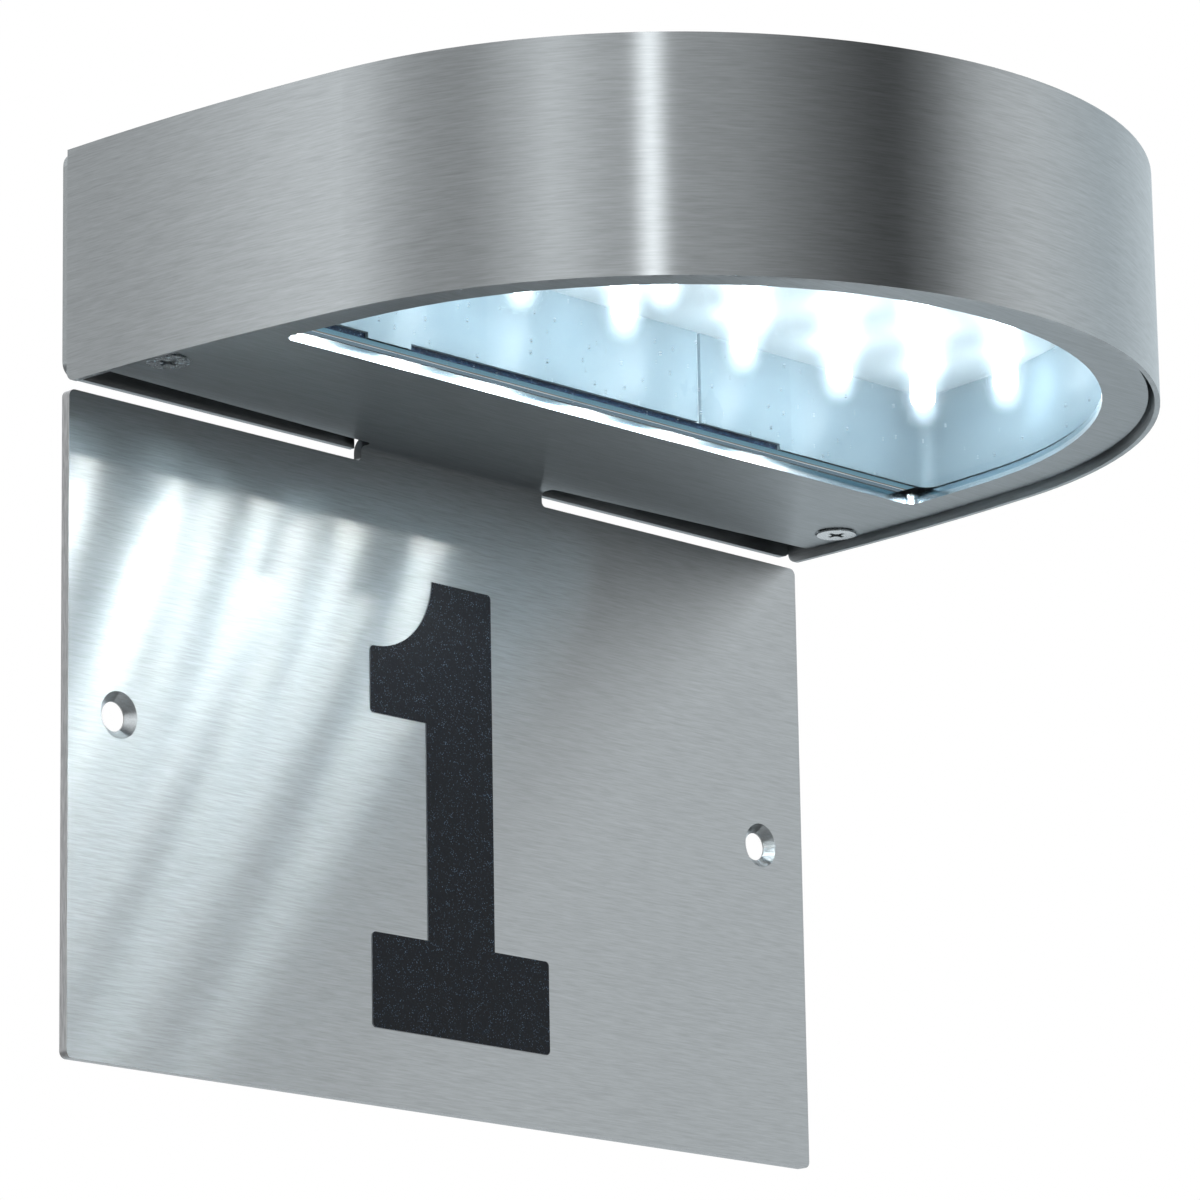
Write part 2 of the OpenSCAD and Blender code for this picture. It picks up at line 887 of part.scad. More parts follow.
module driver_nuts() {
  color("goldenrod")
  at_each(driver_stud_spots, inside_z + driver_ear_t)
    nut(m3_nut_w, m3_nut_h, m3_d + 2 * fit_gap);
}

module terminal_block() {
  color("whitesmoke")
  difference() {
    union() {
      translate([block_x - block_w / 2, block_y - block_l / 2, inside_z])
        cube([block_w, block_l, block_foot_h]);
      at_each(terminal_spots, inside_z)
        translate([-block_w / 2, -m3_nut_w, 0]) cube([block_w, 2 * m3_nut_w, block_h]);
    }
    at_each(terminal_spots, inside_z + insert_rise) {
      translate([-block_w / 2 - cut, 0, 0])
        rotate([0, 90, 0]) cylinder(h = block_w + 2 * cut, d = insert_d + 2 * fit_gap);
      for (end = [-1, 1])
        translate([end * block_screw_pitch / 2, 0, 0]) cylinder(h = block_h, d = block_well_d);
    }
    translate([block_x, block_y, inside_z - cut])
      cylinder(h = block_h, d = driver_hole_d);
  }
}

module terminal_inserts() {
  color("gold")
  at_each(terminal_spots, inside_z + insert_rise)
    difference() {
      rotate([0, 90, 0]) cylinder(h = insert_l, d = insert_d, center = true);
      rotate([0, 90, 0]) cylinder(h = insert_l + 2 * cut, d = block_bore_d, center = true);
      for (end = [-1, 1])
        translate([end * block_screw_pitch / 2, 0, 0])
          cylinder(h = insert_d, d = block_screw_d + 2 * fit_gap);
    }
}

module terminal_screws() {
  color("silver")
  at_each(terminal_spots, inside_z + insert_rise + block_bore_d / 4)
    for (end = [-1, 1])
      translate([end * block_screw_pitch / 2, 0, 0])
        difference() {
          cylinder(h = block_screw_h, d = block_screw_d);
          translate([-block_screw_d, -recess_w / 4, block_screw_h - recess_w])
            cube([2 * block_screw_d, recess_w / 2, recess_w + cut]);
        }
}

module block_stud() {
  color("silver")
  translate([block_x, block_y, inside_z])
    cylinder(h = block_foot_h + m3_nut_h + stud_past, d = m3_d);
}

module block_nut() {
  color("goldenrod")
  translate([block_x, block_y, inside_z + block_foot_h])
    nut(m3_nut_w, m3_nut_h, m3_d + 2 * fit_gap);
}

module earth_stud() {
  color("silver")
  translate([earth_x, earth_y, inside_z])
    cylinder(h = 2 * washer_t + m4_nut_h + 2 * stud_past, d = m4_d);
}

module earth_washer() {
  color("gold")
  translate([earth_x, earth_y, inside_z])
    difference() {
      cylinder(h = washer_t, d = washer_d);
      translate([0, 0, -cut]) cylinder(h = washer_t + 2 * cut, d = m4_d + 2 * fit_gap);
    }
}

module earth_nut() {
  color("goldenrod")
  translate([earth_x, earth_y, inside_z + washer_t])
    nut(m4_nut_w, m4_nut_h, m4_d + 2 * fit_gap);
}

module cable_grommet() {
  color("black")
  translate([grommet_x, 0, grommet_z])
    rotate([90, 0, 0])
      difference() {
        union() {
          cylinder(h = back_t, d = grommet_d);
          translate([0, 0, back_t]) cylinder(h = grommet_flange_t, d = grommet_flange_d);
          translate([0, 0, back_t + grommet_flange_t])
            cylinder(h = grommet_nose, d1 = grommet_d, d2 = cable_d + grommet_wall);
        }
        translate([0, 0, -cut])
          cylinder(h = back_t + grommet_flange_t + grommet_nose + 2 * cut, d = cable_d);
      }
}

// From the terminals to the driver
module mains_wires() {
  start_x = block_x - block_w / 2 - slip_gap;
  end_x = driver_x + driver_l / 2;
  reach = (end_x - start_x) / 2;
  color("saddlebrown")
  for (side = [-1, 1])
    wire(
      [start_x, block_y + side * block_pitch, inside_z + insert_rise],
      [reach, 0, 0],
      [end_x, driver_y + side * mains_pitch / 2, inside_z + wire_rise],
      [reach, 0, 0]
    );
}

// From the driver up to the plug on the board
module led_wires() {
  color("crimson")
  for (side = [-1, 1])
    wire(
      [driver_x - driver_l / 2, driver_y + side * wire_pitch / 2, inside_z + wire_rise],
      [-wire_rise, 0, 0],
      [plug_x - side * wire_pitch / 2, -board_rear - plug_wall, board_top + plug_h / 2],
      [0, -wire_rise, 0]
    );
}

housing_band();
back_wall();
top_cover();
corner_lugs();
lug_nuts();
number_plate();
digit_one();
cover_screws();
window_pane();
pane_seal();
pane_tape();
chamber_strip();
chamber_splice();
led_board();
leds();
solder_joints();
resistors();
board_plug();
board_studs();
board_spacers();
board_nuts();
driver_case();
driver_lid();
driver_board();
driver_coil();
driver_capacitor();
driver_studs();
driver_nuts();
terminal_block();
terminal_inserts();
terminal_screws();
block_stud();
block_nut();
earth_stud();
earth_washer();
earth_nut();
cable_grommet();
mains_wires();
led_wires();
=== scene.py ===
"""Looks of an illuminated house number sign: brushed steel, a window lit by rows of lamps, a film digit."""

import math

import bpy
from mathutils import Matrix, Vector


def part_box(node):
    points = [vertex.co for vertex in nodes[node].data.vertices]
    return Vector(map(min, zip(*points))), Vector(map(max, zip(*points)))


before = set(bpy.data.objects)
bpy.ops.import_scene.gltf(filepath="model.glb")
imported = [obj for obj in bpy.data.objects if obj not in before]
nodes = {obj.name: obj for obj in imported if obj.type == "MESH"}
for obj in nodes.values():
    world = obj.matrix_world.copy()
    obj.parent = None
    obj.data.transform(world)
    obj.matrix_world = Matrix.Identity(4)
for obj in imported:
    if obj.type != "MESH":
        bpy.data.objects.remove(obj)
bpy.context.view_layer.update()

MM = 0.001
# Nearly along X, so that the lines also have a direction on the faces that look along X
ALONG_X = (1, 0.02, 0.01)


# Node helpers


class Shader:
    """A new material with its Principled shader, and short calls for the nodes around it."""

    def __init__(self, name):
        self.material = bpy.data.materials.new(name)
        self.material.use_nodes = True
        self.tree = self.material.node_tree
        self.tree.nodes.clear()
        self.out = self.add("ShaderNodeOutputMaterial")
        self.main = self.add("ShaderNodeBsdfPrincipled")
        self.link(self.main.outputs[0], self.out.inputs["Surface"])

    def add(self, kind, **values):
        node = self.tree.nodes.new(kind)
        for key, value in values.items():
            setattr(node, key, value)
        return node

    def link(self, source, target):
        self.tree.links.new(source, target)

    def set(self, **values):
        """Sets the shader's own sockets: base_color=..., metallic=..."""
        for key, value in values.items():
            name = key.replace("_", " ").title().replace("Ior", "IOR")
            self.main.inputs[name].default_value = value

    def place(self):
        return self.add("ShaderNodeTexCoord").outputs["Object"]

    def split(self, vector):
        node = self.add("ShaderNodeSeparateXYZ")
        self.link(vector, node.inputs[0])
        return node.outputs

    def scaled(self, vector, scale):
        node = self.add("ShaderNodeMapping")
        self.link(vector, node.inputs["Vector"])
        node.inputs["Scale"].default_value = scale
        return node.outputs[0]

    def noise(self, vector, scale=1.0, detail=2.0, rough=0.5):
        node = self.add("ShaderNodeTexNoise")
        self.link(vector, node.inputs["Vector"])
        node.inputs["Scale"].default_value = scale
        node.inputs["Detail"].default_value = detail
        node.inputs["Roughness"].default_value = rough
        return node.outputs[0]

    def ranged(self, value, low, high, to_low, to_high):
        node = self.add("ShaderNodeMapRange")
        self.link(value, node.inputs["Value"])
        for name, number in zip(("From Min", "From Max", "To Min", "To Max"), (low, high, to_low, to_high)):
            node.inputs[name].default_value = number
        return node.outputs[0]

    def math(self, operation, a, b):
        node = self.add("ShaderNodeMath", operation=operation)
        for socket, value in zip(node.inputs, (a, b)):
            if isinstance(value, (int, float)):
                socket.default_value = value
            else:
                self.link(value, socket)
        return node.outputs[0]

    def ramp(self, value, stops):
        node = self.add("ShaderNodeValToRGB")
        self.link(value, node.inputs[0])
        elements = node.color_ramp.elements
        while len(elements) < len(stops):
            elements.new(0.5)
        for element, (where, color) in zip(elements, stops):
            element.position = where
            element.color = (*color, 1)
        return node.outputs[0]

    def bump(self, height, distance, strength):
        node = self.add("ShaderNodeBump")
        self.link(height, node.inputs["Height"])
        node.inputs["Distance"].default_value = distance
        node.inputs["Strength"].default_value = strength
        self.link(node.outputs[0], self.main.inputs["Normal"])


def dress(name, *materials):
    """Gives a CAD node its materials."""
    mesh = nodes[name].data
    mesh.materials.clear()
    for material in materials:
        mesh.materials.append(material)


# Metals

STEEL = (0.575, 0.617, 0.637)
# The lines mirror sharply along themselves and spread light far across themselves
SHARP_ROUGH = 0.243
SHARP_ANISO = -0.83
SHARP_SHARE = 0.62
# Fine and broad lines of the brushing: lines per metre, and how much shorter the texture is along them
FINE_LINES = 3600
BROAD_LINES = 1500
ALONG_SHARE = 0.05
FINE_SHARE = 0.7
BROAD_SHARE = 0.3
# How far the colour and the roughness swing with the lines, and how deep the lines are
STREAK = 0.13
BRUSH_ROUGH = 0.33
LINE_WEAR = 0.04
CLOUD_WEAR = 0.015
CLOUD_SCALE = 14
LINE_DEPTH = 0.00003
# Cut edges of the sheet
CUT_STOPS = [(0.35, (0.40, 0.41, 0.42)), (0.65, (0.58, 0.59, 0.60))]
CUT_GRAIN = (3000, 3000, 300)
CUT_ROUGH = 0.32
# Painted shade: the ends of the slots along the fold are coloured near black
SLOT_END_SHADE = (0.07, 0.075, 0.08, 1)


def brushed_steel(name, brush, edges=None):
    """Steel with fine lines. brush is their direction, or None for level lines round an upright wall.
    edges is a function that gives the share of cut edge at a place."""
    s = Shader(name)
    place = s.place()
    stretch = (ALONG_SHARE, ALONG_SHARE if brush is None else 1, 1)
    fine = s.noise(s.scaled(place, [v * FINE_LINES for v in stretch]), detail=3, rough=0.65)
    broad = s.noise(s.scaled(place, [v * BROAD_LINES for v in stretch]), detail=3, rough=0.6)
    cloud = s.noise(place, scale=CLOUD_SCALE, detail=2)
    lines = s.math("ADD", s.math("MULTIPLY", fine, FINE_SHARE), s.math("MULTIPLY", broad, BROAD_SHARE))
    low = tuple(c * (1 - STREAK) for c in STEEL)
    high = tuple(min(1, c * (1 + STREAK)) for c in STEEL)
    s.link(s.ramp(lines, [(0.36, low), (0.5, STEEL), (0.66, high)]), s.main.inputs["Base Color"])
    line_wear = s.ranged(lines, 0.3, 0.7, -LINE_WEAR, LINE_WEAR)
    cloud_wear = s.ranged(cloud, 0.3, 0.7, -CLOUD_WEAR, CLOUD_WEAR)
    s.link(s.math("ADD", s.math("ADD", line_wear, cloud_wear), BRUSH_ROUGH), s.main.inputs["Roughness"])
    s.set(metallic=1.0, anisotropic=1.0)
    s.bump(lines, LINE_DEPTH, 0.5)
    if brush is None:
        across = s.add("ShaderNodeCombineXYZ")
        across.inputs["Z"].default_value = 1
    else:
        across = s.add("ShaderNodeVectorMath", operation="CROSS_PRODUCT")
        across.inputs[0].default_value = brush
        s.link(s.add("ShaderNodeNewGeometry").outputs["Normal"], across.inputs[1])
    s.link(across.outputs[0], s.main.inputs["Tangent"])
    sharp = s.add("ShaderNodeBsdfAnisotropic", distribution="GGX")
    sharp.inputs["Roughness"].default_value = SHARP_ROUGH
    sharp.inputs["Anisotropy"].default_value = SHARP_ANISO
    s.link(across.outputs[0], sharp.inputs["Tangent"])
    s.link(s.main.inputs["Base Color"].links[0].from_socket, sharp.inputs["Color"])
    s.link(s.main.inputs["Normal"].links[0].from_socket, sharp.inputs["Normal"])
    mix = s.add("ShaderNodeMixShader")
    mix.inputs[0].default_value = SHARP_SHARE
    s.link(s.main.outputs[0], mix.inputs[1])
    s.link(sharp.outputs[0], mix.inputs[2])
    s.link(mix.outputs[0], s.out.inputs["Surface"])
    if edges:
        cut = s.add("ShaderNodeBsdfPrincipled")
        cut.inputs["Metallic"].default_value = 1.0
        pale = s.ramp(s.noise(s.scaled(place, CUT_GRAIN), detail=2), CUT_STOPS)
        # Painted shade on the ends of the slots
        cut_with_shade = s.add("ShaderNodeMix", data_type="RGBA")
        s.link(shaded_slot_ends(s), cut_with_shade.inputs["Factor"])
        s.link(pale, cut_with_shade.inputs["A"])
        cut_with_shade.inputs["B"].default_value = SLOT_END_SHADE
        # Painted light on the window's rim: a near-white painted highlight below, and a painted reflection
        # of the blue-grey wall above
        rise = s.ranged(s.split(place)[2], SHEET_TOP - SHEET_THICKNESS, SHEET_TOP, 0.0, 1.0)
        rim_light_colors = s.ramp(rise, RIM_LIGHT_STOPS)
        at_window = window_rim(s)
        rim = s.add("ShaderNodeMix", data_type="RGBA")
        s.link(at_window, rim.inputs["Factor"])
        s.link(cut_with_shade.outputs["Result"], rim.inputs["A"])
        s.link(rim_light_colors, rim.inputs["B"])
        s.link(rim.outputs["Result"], cut.inputs["Base Color"])
        s.link(s.ranged(at_window, 0.0, 1.0, CUT_ROUGH, RIM_ROUGH), cut.inputs["Roughness"])
        sides = s.add("ShaderNodeMixShader")
        s.link(edges(s), sides.inputs[0])
        s.link(mix.outputs[0], sides.inputs[1])
        s.link(cut.outputs[0], sides.inputs[2])
        s.link(sides.outputs[0], s.out.inputs["Surface"])
    return s.material


def window_rim(s):
    """Share of the window's rim, which carries painted light: above the fold, and in front of the slots."""
    parts = s.split(s.place())
    above = s.math("GREATER_THAN", parts[2], FOLD_START)
    return s.math("MULTIPLY", above, s.math("LESS_THAN", parts[1], -SLOT_REACH))


def shaded_slot_ends(s):
    """Share of the slot ends along the fold that get painted shade: sideways faces above its start, near the
    wall.
    """
    sideways = s.math("ABSOLUTE", s.split(s.add("ShaderNodeNewGeometry").outputs["Normal"])[0], 0.0)
    parts = s.split(s.place())
    above = s.math("GREATER_THAN", parts[2], FOLD_START)
    near = s.math("MULTIPLY", above, s.math("GREATER_THAN", parts[1], -SLOT_REACH))
    return s.math("MULTIPLY", near, s.math("GREATER_THAN", sideways, 0.5))


def plate_edges(s):
    """Share of cut edge on the folded sheet: the faces that look along its upright or its level part."""
    slope = s.split(s.add("ShaderNodeNewGeometry").outputs["Normal"])
    level = s.split(s.place())[2]
    sideways, forward, upward = [s.math("ABSOLUTE", part, 0.0) for part in slope]
    upright = s.math("MULTIPLY", s.math("LESS_THAN", level, FOLD_START), s.math("LESS_THAN", forward, 0.5))
    flat = s.math("MULTIPLY", s.math("GREATER_THAN", level, FOLD_END), s.math("LESS_THAN", upward, 0.5))
    return s.math("MAXIMUM", s.math("GREATER_THAN", sideways, 0.9), s.math("MAXIMUM", upright, flat))


def plain_metal(name, color, rough, speckle=0.05, depth=0.00002):
    """Machined or plated metal with faint mottling."""
    s = Shader(name)
    grain = s.noise(s.place(), scale=1400, detail=3)
    low = tuple(c * (1 - speckle) for c in color)
    high = tuple(min(1, c * (1 + speckle)) for c in color)
    s.link(s.ramp(grain, [(0.35, low), (0.65, high)]), s.main.inputs["Base Color"])
    s.link(s.ranged(grain, 0.3, 0.7, rough - 0.05, rough + 0.05), s.main.inputs["Roughness"])
    s.set(metallic=1.0)
    s.bump(grain, depth, 0.4)
    return s.material


def plastic(name, color, rough=0.4, grain_scale=1800, depth=0.00003, speckle=0.06):
    """Moulded plastic, rubber, enamel or lacquer with a fine grain."""
    s = Shader(name)
    grain = s.noise(s.place(), scale=grain_scale, detail=4, rough=0.6)
    low = tuple(c * (1 - speckle) for c in color)
    high = tuple(min(1, c * (1 + speckle)) for c in color)
    s.link(s.ramp(grain, [(0.35, low), (0.65, high)]), s.main.inputs["Base Color"])
    s.link(s.ranged(grain, 0.3, 0.7, rough - 0.06, rough + 0.06), s.main.inputs["Roughness"])
    s.bump(grain, depth, 0.5)
    return s.material


# The folded sheet is upright below the first height and level above the second
FOLD_START = 60.3 * MM
FOLD_END = 62.8 * MM
# How far the slots along the fold reach from the wall
SLOT_REACH = 9 * MM
# The window's rim has a finer finish than the other cut edges: its colours from the underside up, which are
# painted light (a near-white painted highlight of the lamps on its lower lip, then a painted reflection of
# the blue-grey wall), and its roughness
SHEET_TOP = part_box("number_plate")[1].z
SHEET_THICKNESS = 2 * MM
RIM_LIGHT_STOPS = [
    (0.0, (0.96, 0.97, 0.98)), (0.42, (0.93, 0.96, 0.98)),
    (0.5, (0.52, 0.64, 0.71)), (1.0, (0.50, 0.62, 0.69)),
]
RIM_ROUGH = 0.2

level_steel = brushed_steel("level_brushed_steel", None)
sheet_steel = brushed_steel("sheet_brushed_steel", ALONG_X)
folded_steel = brushed_steel("folded_brushed_steel", ALONG_X, edges=plate_edges)
screw_steel = plain_metal("screw_steel", (0.80, 0.835, 0.855), 0.27, 0.03, 0.000002)
zinc = plain_metal("zinc_plate", (0.55, 0.56, 0.58), 0.35)
brass = plain_metal("brass", (0.72, 0.53, 0.25), 0.3)
solder = plain_metal("solder", (0.6, 0.61, 0.62), 0.3)


# Film of the digit

# Bright grains per metre, the scale of their patches, and the film's colours from bare to grainy; the grainy
# colour is partly the film's own sparkle and partly a painted blue sheen
FILM_GRAINS = 2400
FILM_PATCHES = 500
FILM_GRAIN_SHEEN_STOPS = [(0.0, (0.006, 0.009, 0.014)), (1.0, (0.14, 0.22, 0.33))]
# Painted highlight: the film's side faces are coloured pale, as edges catching light
FILM_EDGE_HIGHLIGHT = (0.30, 0.32, 0.34, 1)


def film_black():
    s = Shader("digit_film")
    place = s.place()
    dust = s.add("ShaderNodeTexVoronoi", feature="F1")
    s.link(place, dust.inputs["Vector"])
    dust.inputs["Scale"].default_value = FILM_GRAINS
    speck = s.ranged(dust.outputs["Distance"], 0.12, 0.34, 1.0, 0.0)
    thin = s.ranged(s.noise(place, scale=FILM_PATCHES, detail=4, rough=0.7), 0.42, 0.64, 0.0, 1.0)
    # Paler, bluer grains in patches: partly the film's own sparkle, partly a painted blue sheen
    grain_and_sheen = s.math("MULTIPLY", speck, thin)
    dark = s.ramp(grain_and_sheen, FILM_GRAIN_SHEEN_STOPS)
    # Faces that don't look forward get the painted edge highlight
    forward = s.math("ABSOLUTE", s.split(s.add("ShaderNodeNewGeometry").outputs["Normal"])[1], 0.0)
    rim = s.add("ShaderNodeMix", data_type="RGBA")
    s.link(s.math("LESS_THAN", forward, 0.5), rim.inputs["Factor"])
    s.link(dark, rim.inputs["A"])
    rim.inputs["B"].default_value = FILM_EDGE_HIGHLIGHT
    s.link(rim.outputs["Result"], s.main.inputs["Base Color"])
    s.set(specular_ior_level=0.18)
    s.link(s.ranged(s.noise(place, scale=2200, detail=3), 0.3, 0.7, 0.34, 0.48), s.main.inputs["Roughness"])
    s.bump(s.noise(place, scale=1500, detail=4), 0.00006, 0.6)
    return s.material


# Lamp chamber


def specks(s):
    """Share of dust at a place: small grains a few millimetres apart, of several sizes."""
    grains = s.add("ShaderNodeTexVoronoi", feature="F1", voronoi_dimensions="2D")
    s.link(s.place(), grains.inputs["Vector"])
    grains.inputs["Scale"].default_value = SPECK_SCALE
    size = s.ranged(s.split(grains.outputs["Color"])[0], 0.25, 1.0, 0.0, SPECK_SIZE)
    return s.math("LESS_THAN", grains.outputs["Distance"], size)


def clear_pane():
    """Clear sheet with haze and dust. Lamp light passes it without bending, so that it reaches the plate."""
    s = Shader("clear_pane")
    s.set(base_color=PANE_TINT, roughness=0.0, ior=PANE_IOR, transmission_weight=1.0)
    haze = s.add("ShaderNodeBsdfRefraction")
    haze.inputs["Color"].default_value = HAZE_TINT
    dust = specks(s)
    s.link(s.ranged(dust, 0.0, 1.0, HAZE_ROUGH, SPECK_ROUGH), haze.inputs["Roughness"])
    haze.inputs["IOR"].default_value = PANE_IOR
    clean = s.add("ShaderNodeBsdfRefraction")
    clean.inputs["Color"].default_value = PANE_TINT
    clean.inputs["Roughness"].default_value = 0.0
    clean.inputs["IOR"].default_value = PANE_IOR
    soft = s.add("ShaderNodeMixShader")
    soft.inputs[0].default_value = CLEAN_SHARE
    s.link(s.main.outputs[0], soft.inputs[1])
    s.link(clean.outputs[0], soft.inputs[2])
    dusty = s.add("ShaderNodeMixShader")
    s.link(s.math("MAXIMUM", dust, HAZE_SHARE), dusty.inputs[0])
    s.link(soft.outputs[0], dusty.inputs[1])
    s.link(haze.outputs[0], dusty.inputs[2])
    straight = s.add("ShaderNodeBsdfTransparent")
    straight.inputs[0].default_value = PASSED_TINT
    mix = s.add("ShaderNodeMixShader")
    s.link(s.add("ShaderNodeLightPath").outputs["Is Shadow Ray"], mix.inputs[0])
    s.link(dusty.outputs[0], mix.inputs[1])
    s.link(straight.outputs[0], mix.inputs[2])
    s.link(mix.outputs[0], s.out.inputs["Surface"])
    return s.material


def lamp_epoxy():
    """Clear round lamp, alight in cool white."""
    s = Shader("lamp_light")
    glow = s.noise(s.place(), scale=500, detail=1)
    s.set(base_color=(0.9, 0.95, 1.0, 1), roughness=0.15)
    s.link(s.ramp(glow, LAMP_STOPS), s.main.inputs["Emission Color"])
    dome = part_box("leds")[0].z + DOME_HEIGHT
    strength = s.ranged(s.split(s.place())[2], dome, dome + DOME_FADE, LAMP_LIGHT, LAMP_SIDE_LIGHT)
    outward = s.math("ABSOLUTE", s.split(s.place())[0], 0.0)
    dimmer = s.ranged(outward, OUTER_LAMPS - MM, OUTER_LAMPS, 1.0, OUTER_SHARE)
    s.link(s.math("MULTIPLY", strength, dimmer), s.main.inputs["Emission Strength"])
    return s.material


def chamber_gloss():
    s = Shader("chamber_gloss")
    cloud = s.noise(s.place(), scale=60, detail=4)
    s.link(s.ramp(cloud, WALL_STOPS), s.main.inputs["Base Color"])
    s.link(s.ranged(cloud, 0.3, 0.7, 0.26, 0.34), s.main.inputs["Roughness"])
    s.set(ior=1.5, specular_ior_level=0.31, anisotropic=0.9)
    upright = s.add("ShaderNodeCombineXYZ")
    upright.inputs["Z"].default_value = 1
    s.link(upright.outputs[0], s.main.inputs["Tangent"])
    s.bump(cloud, 0.0004, 0.3)
    return s.material


def foam_strip():
    """Foam tape: dark blue and grainy in front with pale painted glints, and its backing seen from below,
    with lines along it and a painted glow.
    """
    s = Shader("foam_dark")
    place = s.place()
    grain = s.noise(place, scale=2600, detail=4, rough=0.6)
    dark = s.ramp(grain, FOAM_GRAIN_GLINT_STOPS)
    low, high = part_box("pane_tape")
    across = s.ranged(s.split(place)[1], low.y, high.y, 0.0, 1.0)
    lines = s.noise(s.scaled(place, (60, 5000, 60)), detail=2)
    shifted = s.math("ADD", across, s.ranged(lines, 0.3, 0.7, -0.03, 0.03))
    backing = s.ramp(shifted, BACKING_STOPS)
    below = s.math("LESS_THAN", s.split(s.add("ShaderNodeNewGeometry").outputs["Normal"])[2], -0.5)
    both = s.add("ShaderNodeMix", data_type="RGBA")
    s.link(below, both.inputs["Factor"])
    s.link(dark, both.inputs["A"])
    s.link(backing, both.inputs["B"])
    s.link(both.outputs["Result"], s.main.inputs["Base Color"])
    # Painted light: the faces of the backing glow with their colours
    glow = s.add("ShaderNodeMix", data_type="RGBA")
    s.link(below, glow.inputs["Factor"])
    glow.inputs["A"].default_value = (0, 0, 0, 1)
    s.link(backing, glow.inputs["B"])
    s.link(glow.outputs["Result"], s.main.inputs["Emission Color"])
    s.set(emission_strength=BACKING_PAINTED_GLOW)
    s.link(s.ranged(grain, 0.3, 0.7, 0.6, 0.8), s.main.inputs["Roughness"])
    s.set(specular_ior_level=0.15)
    s.bump(grain, 0.0001, 0.5)
    return s.material


WALL_STOPS = [(0.3, (0.265, 0.332, 0.368)), (0.7, (0.315, 0.384, 0.420))]
# Foam colours: dark navy grain, and its palest flecks, which are painted glints
FOAM_GRAIN_GLINT_STOPS = [(0.4, (0.004, 0.012, 0.035)), (0.62, (0.012, 0.035, 0.075)), (0.72, (0.25, 0.33, 0.40))]
# Painted light: the backing glows with its own colours, standing in for light that the pane carries to the
# backing of the foam tape
BACKING_PAINTED_GLOW = 0.65
# Colours across the backing, from its front edge to its rear edge
BACKING_STOPS = [
    (0.0, (0.20, 0.38, 0.48)), (0.44, (0.26, 0.45, 0.55)),
    (0.50, (0.24, 0.22, 0.20)), (0.56, (0.30, 0.28, 0.26)),
    (0.60, (0.85, 0.90, 0.92)), (0.65, (0.70, 0.76, 0.80)),
    (0.70, (0.20, 0.30, 0.38)), (1.0, (0.30, 0.38, 0.44)),
]
# Strength of the lamps' domes and of their sides
LAMP_LIGHT = 34.0
LAMP_SIDE_LIGHT = 8.0
LAMP_STOPS = [(0.3, (0.84, 0.93, 1.0)), (0.7, (0.90, 0.96, 1.0))]
DOME_HEIGHT = 2.5 * MM
DOME_FADE = 0.5 * MM
# Lamps this far from the middle are set dimmer, so that the wall beside them stays below white
OUTER_LAMPS = 60 * MM
OUTER_SHARE = 0.6
PANE_TINT = (0.93, 0.975, 0.985, 1)
PANE_IOR = 1.49
HAZE_TINT = (0.95, 0.98, 1.0, 1)
PASSED_TINT = (0.92, 0.95, 0.96, 1)
HAZE_ROUGH = 0.20
HAZE_SHARE = 0.11
CLEAN_SHARE = 0.8
# Dust on the pane: grains per metre, and the largest grain's half size as a share of their pitch
SPECK_SCALE = 170
SPECK_SIZE = 0.045
SPECK_ROUGH = 1.0

film = film_black()
pane = clear_pane()
lamp = lamp_epoxy()
gloss_wall = chamber_gloss()
board_white = plastic("board_white", (0.93, 0.945, 0.95), 0.35, 400, 0.00002, 0.02)
foam = foam_strip()
silicone = plastic("silicone", (0.55, 0.6, 0.62), 0.3, 300, 0.0001)

FINISHES = {
    "housing_band": level_steel,
    "back_wall": sheet_steel,
    "top_cover": sheet_steel,
    "number_plate": folded_steel,
    "corner_lugs": zinc,
    "lug_nuts": zinc,
    "digit_one": film,
    "cover_screws": screw_steel,
    "window_pane": pane,
    "pane_seal": silicone,
    "pane_tape": foam,
    "chamber_strip": gloss_wall,
    "chamber_splice": plastic("splice_pale", (0.80, 0.84, 0.86), 0.3),
    "led_board": board_white,
    "leds": lamp,
    "solder_joints": solder,
    "resistors": plastic("resistor_lacquer", (0.50, 0.36, 0.20), 0.35),
    "board_plug": plastic("plug_nylon", (0.75, 0.72, 0.62), 0.45),
    "board_studs": zinc,
    "board_spacers": zinc,
    "board_nuts": brass,
    "driver_case": plastic("driver_plastic", (0.05, 0.052, 0.056), 0.5, 900, 0.00008),
    "driver_lid": plastic("driver_lid_plastic", (0.07, 0.073, 0.078), 0.5, 900, 0.00008),
    "driver_board": plastic("board_green", (0.03, 0.16, 0.07), 0.35),
    "driver_coil": plastic("coil_tape", (0.55, 0.38, 0.05), 0.4),
    "driver_capacitor": plastic("capacitor_sleeve", (0.03, 0.035, 0.09), 0.3),
    "driver_studs": zinc,
    "driver_nuts": zinc,
    "terminal_block": plastic("block_nylon", (0.72, 0.72, 0.70), 0.4),
    "terminal_inserts": brass,
    "terminal_screws": zinc,
    "block_stud": zinc,
    "block_nut": zinc,
    "earth_stud": zinc,
    "earth_washer": brass,
    "earth_nut": brass,
    "cable_grommet": plastic("rubber", (0.018, 0.018, 0.019), 0.6, 1200, 0.0001),
    "mains_wires": plastic("mains_wire_sheath", (0.16, 0.06, 0.025), 0.4),
    "led_wires": plastic("lamp_wire_sheath", (0.4, 0.02, 0.02), 0.4),
}
for node_name, finish in FINISHES.items():
    dress(node_name, finish)

